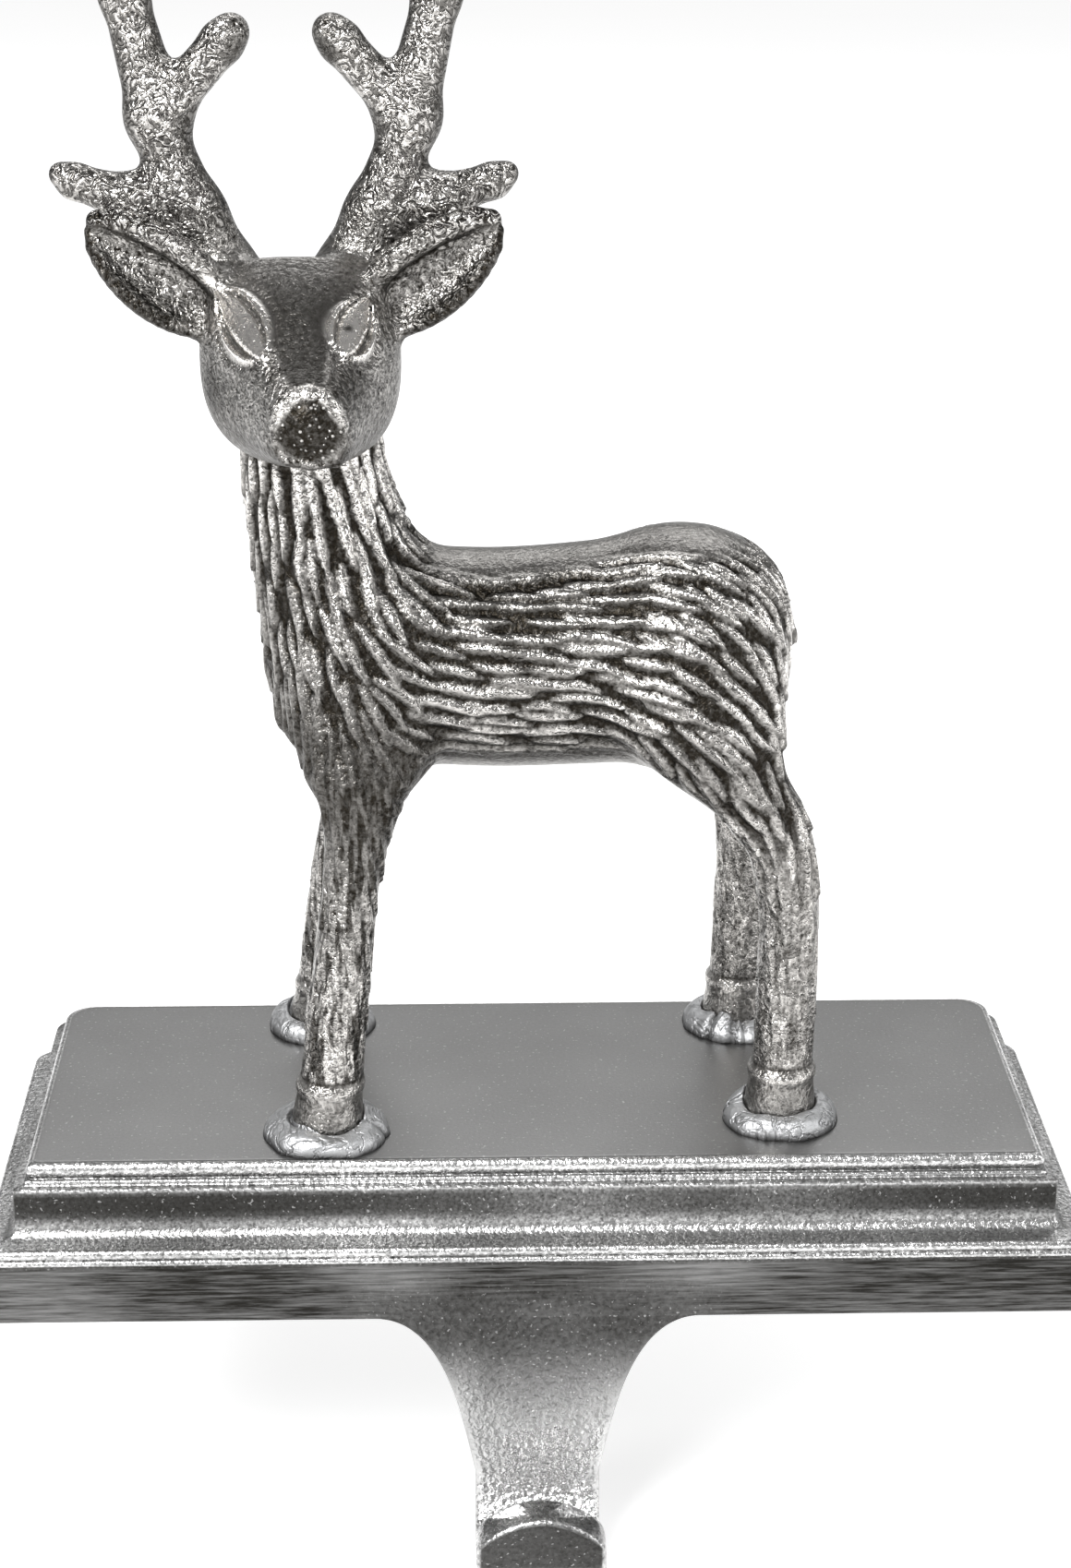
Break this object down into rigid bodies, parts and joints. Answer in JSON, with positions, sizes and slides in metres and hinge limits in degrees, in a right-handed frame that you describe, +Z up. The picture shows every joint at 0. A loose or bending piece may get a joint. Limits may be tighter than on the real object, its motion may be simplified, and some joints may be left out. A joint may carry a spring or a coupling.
{
  "type": "mantel stocking holder",
  "caption": "Cast stag standing on a stepped, moulded plinth that rests on a shelf, with a tongue down its front edge ending in a forward hook for a hanging stocking.",
  "frame": {"origin": "middle of the plinth's length and depth, on the underside of the pad, where the holder sits on the shelf", "axes": "+X along the shelf to the viewer's right, +Y back over the shelf, +Z up; the hook is on the -Y side"},
  "size_m": [0.1318, 0.0735, 0.1998],
  "materials": {
    "base_metal": "raw nickel look, satin on the flat top, rubbed bright on the mouldings, brushed on the bottom band",
    "stag_metal": "raw sand-cast grain, bright on the raised locks and darker in the carved lines",
    "bead_metal": "uneven as-laid filler metal",
    "pad": "matt black non-slip sheet"
  },
  "bodies": {
    "root": {"base_casting": "base_metal", "stag_casting": "stag_metal", "hoof_beads": "bead_metal", "mantel_pad": "pad"}
  },
  "joints": []
}
